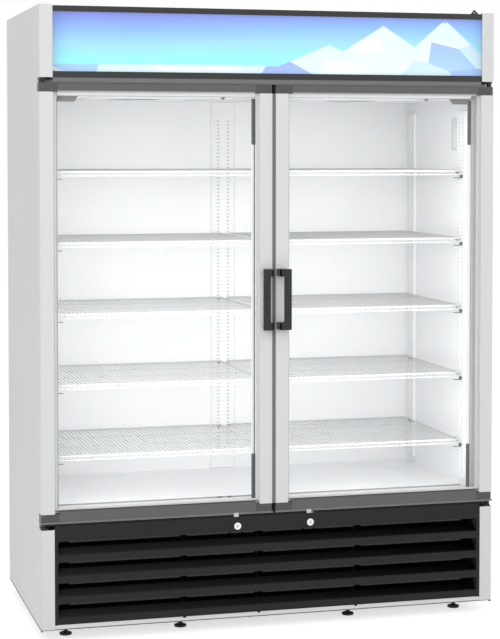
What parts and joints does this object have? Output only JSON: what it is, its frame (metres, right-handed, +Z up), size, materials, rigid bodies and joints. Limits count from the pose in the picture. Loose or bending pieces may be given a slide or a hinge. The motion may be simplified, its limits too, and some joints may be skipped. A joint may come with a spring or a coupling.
{
  "type": "glass door merchandiser refrigerator",
  "caption": "Upright commercial display refrigerator with hinged double-glazed doors, wire shelves, lit header and louvred base grille.",
  "frame": {"origin": "on the floor under the middle of the whole object's footprint", "axes": "+Z up, +Y from the doors to the back, +X from the left door to the right door"},
  "size_m": [1.585, 0.825, 2.107],
  "materials": {
    "white_enamel": "satin white",
    "white_aluminium": "satin white",
    "white_liner": "gloss white",
    "white_plastic": "semi-gloss",
    "galvanised_sheet": "galvanised",
    "foam": "rigid foam",
    "grey_plastic": "matte",
    "dark_plastic": "matte",
    "black_plastic": "semi-gloss",
    "grille_plastic": "fine grain",
    "dark_trim": "satin charcoal",
    "grey_trim": "satin grey",
    "black_enamel": "satin black",
    "aluminium": "plain",
    "zinc_steel": "zinc plated",
    "copper": "drawn tube",
    "chrome": "polished",
    "shelf_wire": "coated wire",
    "gasket": "soft magnetic",
    "glass": "clear",
    "lamp_lens": "opal",
    "sign": "translucent printed"
  },
  "bodies": {
    "cabinet": {"back_panel": "galvanised_sheet", "base_frame": "white_enamel", "centre_mullion": "white_liner", "compressor": "black_enamel", "condensate_pan": "dark_plastic", "condenser_coil": "aluminium", "condenser_fan_shroud": "dark_plastic", "electrical_box": "galvanised_sheet", "evaporator_coil": "aluminium", "evaporator_cover": "white_liner", "evaporator_fan_motors": "dark_plastic", "front_frame": "white_plastic", "front_grille": "grille_plastic", "header_frame": "dark_trim", "header_lamp": "white_enamel", "header_trim": "grey_trim", "hinge_brackets": "black_enamel", "inner_liner": "white_liner", "insulation": "foam", "lamp_channels": "aluminium", "lamp_end_caps": "dark_plastic", "lamp_lenses": "lamp_lens", "levelling_feet": "zinc_steel", "refrigerant_lines": "copper", "shelf_clips": "grey_plastic", "shelf_left_1": "shelf_wire", "shelf_left_2": "shelf_wire", "shelf_left_3": "shelf_wire", "shelf_left_4": "shelf_wire", "shelf_left_5": "shelf_wire", "shelf_pilasters": "white_liner", "shelf_right_1": "shelf_wire", "shelf_right_2": "shelf_wire", "shelf_right_3": "shelf_wire", "shelf_right_4": "shelf_wire", "shelf_right_5": "shelf_wire", "side_panel_left": "white_enamel", "side_panel_right": "white_enamel", "sign_panel": "sign", "top_panel": "white_enamel", "wiring_covers": "grey_plastic"},
    "door_left": {"door_left_corner_caps": "dark_plastic", "door_left_gasket": "gasket", "door_left_glass": "glass", "door_left_handle": "black_plastic", "door_left_rails": "dark_trim", "door_left_spacer": "aluminium", "door_left_stiles": "white_aluminium"},
    "door_right": {"door_right_corner_caps": "dark_plastic", "door_right_gasket": "gasket", "door_right_glass": "glass", "door_right_handle": "black_plastic", "door_right_rails": "dark_trim", "door_right_spacer": "aluminium", "door_right_stiles": "white_aluminium"},
    "lock_left": {"lock_left": "chrome"},
    "lock_right": {"lock_right": "chrome"},
    "evaporator_fan_left": {"evaporator_fan_left": "grey_plastic"},
    "evaporator_fan_right": {"evaporator_fan_right": "grey_plastic"},
    "condenser_fan": {"condenser_fan": "grey_plastic"}
  },
  "joints": [
    {"name": "left_door_hinge", "type": "hinge", "parent": "cabinet", "child": "door_left", "pos_m": [-0.7825, -0.3475, 0.396], "axis": [0, 0, -1], "range_deg": [0, 110], "stiffness_Nm_per_rad": 3, "springref_deg": -5.73},
    {"name": "right_door_hinge", "type": "hinge", "parent": "cabinet", "child": "door_right", "pos_m": [0.7825, -0.3475, 0.396], "axis": [0, 0, 1], "range_deg": [0, 110], "stiffness_Nm_per_rad": 3, "springref_deg": -5.73},
    {"name": "left_lock_turn", "type": "hinge", "parent": "cabinet", "child": "lock_left", "pos_m": [-0.128, -0.3655, 0.357], "axis": [0, -1, 0], "range_deg": [0, 90]},
    {"name": "right_lock_turn", "type": "hinge", "parent": "cabinet", "child": "lock_right", "pos_m": [0.128, -0.3655, 0.357], "axis": [0, 1, 0], "range_deg": [0, 90]},
    {"name": "left_evaporator_fan_spin", "type": "hinge", "parent": "cabinet", "child": "evaporator_fan_left", "pos_m": [-0.4, 0.0325, 1.836], "axis": [0, 0, 1], "continuous": true},
    {"name": "right_evaporator_fan_spin", "type": "hinge", "parent": "cabinet", "child": "evaporator_fan_right", "pos_m": [0.4, 0.0325, 1.836], "axis": [0, 0, 1], "continuous": true},
    {"name": "condenser_fan_spin", "type": "hinge", "parent": "cabinet", "child": "condenser_fan", "pos_m": [-0.2, -0.1435, 0.20625], "axis": [0, 1, 0], "continuous": true}
  ]
}
